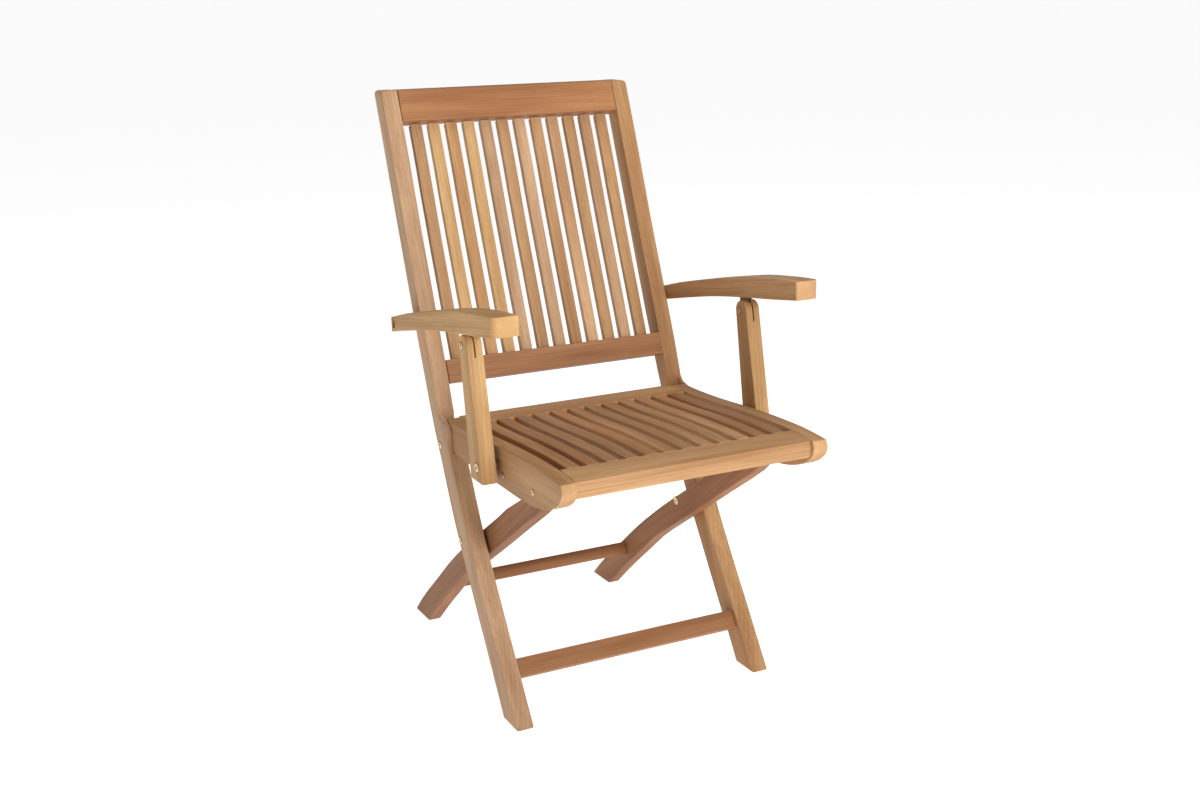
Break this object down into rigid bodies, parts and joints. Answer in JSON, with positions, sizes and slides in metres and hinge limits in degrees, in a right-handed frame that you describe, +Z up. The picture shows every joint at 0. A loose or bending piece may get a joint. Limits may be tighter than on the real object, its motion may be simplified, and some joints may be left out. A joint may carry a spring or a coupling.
{
  "type": "folding armchair",
  "caption": "Slatted wooden folding armchair with a high raked back, dished seat, crossed legs and hinged arms.",
  "frame": {"origin": "centre of the chair's footprint on the floor, in the plane of symmetry", "axes": "+Z up, the sitter faces -Y, +X to the right when looking along +Y"},
  "size_m": [0.549, 0.698, 0.947],
  "materials": {
    "teak": "oiled",
    "teak_dark": "oiled",
    "teak_gold": "oiled",
    "brass_fitting": "aged",
    "hinge_plate": "dark"
  },
  "bodies": {
    "plate_left": {"arm_hinge_plate_left": "hinge_plate"},
    "plate_right": {"arm_hinge_plate_right": "hinge_plate"},
    "arm_left": {"arm_left": "teak_gold"},
    "frame": {"arm_pivot_bolt_left": "brass_fitting", "arm_pivot_bolt_right": "brass_fitting", "back_slat_01": "teak", "back_slat_02": "teak", "back_slat_03": "teak", "back_slat_04": "teak", "back_slat_05": "teak", "back_slat_06": "teak", "back_slat_07": "teak", "back_slat_08": "teak", "back_slat_09": "teak", "back_slat_10": "teak", "back_slat_11": "teak", "back_slat_12": "teak", "front_stretcher": "teak_dark", "leg_cross_bolt_left": "brass_fitting", "leg_cross_bolt_right": "brass_fitting", "lower_back_rail": "teak_dark", "seat_stop_bolt_left": "brass_fitting", "seat_stop_bolt_right": "brass_fitting", "stile_left": "teak", "stile_right": "teak", "top_rail": "teak_dark"},
    "arm_right": {"arm_right": "teak_gold"},
    "support_left": {"arm_support_left": "teak_gold"},
    "support_right": {"arm_support_right": "teak_gold"},
    "rear_legs": {"leg_slide_pin_left": "brass_fitting", "leg_slide_pin_right": "brass_fitting", "rear_leg_left": "teak_dark", "rear_leg_right": "teak_dark", "rear_stretcher": "teak_dark"},
    "seat": {"rail_screw_front_left": "brass_fitting", "rail_screw_front_right": "brass_fitting", "rail_screw_rear_left": "brass_fitting", "rail_screw_rear_right": "brass_fitting", "seat_front_rail": "teak_dark", "seat_pivot_pin_left": "brass_fitting", "seat_pivot_pin_right": "brass_fitting", "seat_rear_rail": "teak_dark", "seat_side_rail_left": "teak", "seat_side_rail_right": "teak", "seat_slat_01": "teak", "seat_slat_02": "teak", "seat_slat_03": "teak", "seat_slat_04": "teak", "seat_slat_05": "teak", "seat_slat_06": "teak", "seat_slat_07": "teak", "seat_slat_08": "teak", "seat_slat_09": "teak", "seat_slat_10": "teak", "seat_slat_11": "teak", "seat_slat_12": "teak", "support_pivot_bolt_left": "brass_fitting", "support_pivot_bolt_right": "brass_fitting"}
  },
  "joints": [
    {"name": "seat_fold", "type": "hinge", "parent": "frame", "child": "seat", "pos_m": [0, 0.06475, 0.4], "axis": [-1, 0, 0], "range_deg": [0, 84]},
    {"name": "rear_leg_fold", "type": "hinge", "parent": "frame", "child": "rear_legs", "pos_m": [0, 0.02175, 0.246], "axis": [-1, 0, 0], "range_deg": [0, 66.8]},
    {"name": "arm_left_fold", "type": "hinge", "parent": "frame", "child": "arm_left", "pos_m": [0, 0.16985, 0.5838], "axis": [-1, 0, 0], "range_deg": [0, 63.1]},
    {"name": "support_left_pivot", "type": "hinge", "parent": "seat", "child": "support_left", "pos_m": [0, -0.12585, 0.4168], "axis": [-1, 0, 0], "range_deg": [-92.3, 0]},
    {"name": "plate_left_pivot", "type": "hinge", "parent": "support_left", "child": "plate_left", "pos_m": [0, -0.08165, 0.5954], "axis": [-1, 0, 0], "range_deg": [0, 71.4]},
    {"name": "arm_right_fold", "type": "hinge", "parent": "frame", "child": "arm_right", "pos_m": [0, 0.16985, 0.5838], "axis": [-1, 0, 0], "range_deg": [0, 63.1]},
    {"name": "support_right_pivot", "type": "hinge", "parent": "seat", "child": "support_right", "pos_m": [0, -0.12585, 0.4168], "axis": [-1, 0, 0], "range_deg": [-92.3, 0]},
    {"name": "plate_right_pivot", "type": "hinge", "parent": "support_right", "child": "plate_right", "pos_m": [0, -0.08165, 0.5954], "axis": [-1, 0, 0], "range_deg": [0, 71.4]}
  ],
  "couplings": [
    {"joint": "rear_leg_fold", "follows": "seat_fold", "ratio": 0.795},
    {"joint": "arm_left_fold", "follows": "seat_fold", "ratio": 0.751},
    {"joint": "support_left_pivot", "follows": "seat_fold", "ratio": -1.098},
    {"joint": "plate_left_pivot", "follows": "seat_fold", "ratio": 0.849},
    {"joint": "arm_right_fold", "follows": "seat_fold", "ratio": 0.751},
    {"joint": "support_right_pivot", "follows": "seat_fold", "ratio": -1.098},
    {"joint": "plate_right_pivot", "follows": "seat_fold", "ratio": 0.849}
  ]
}
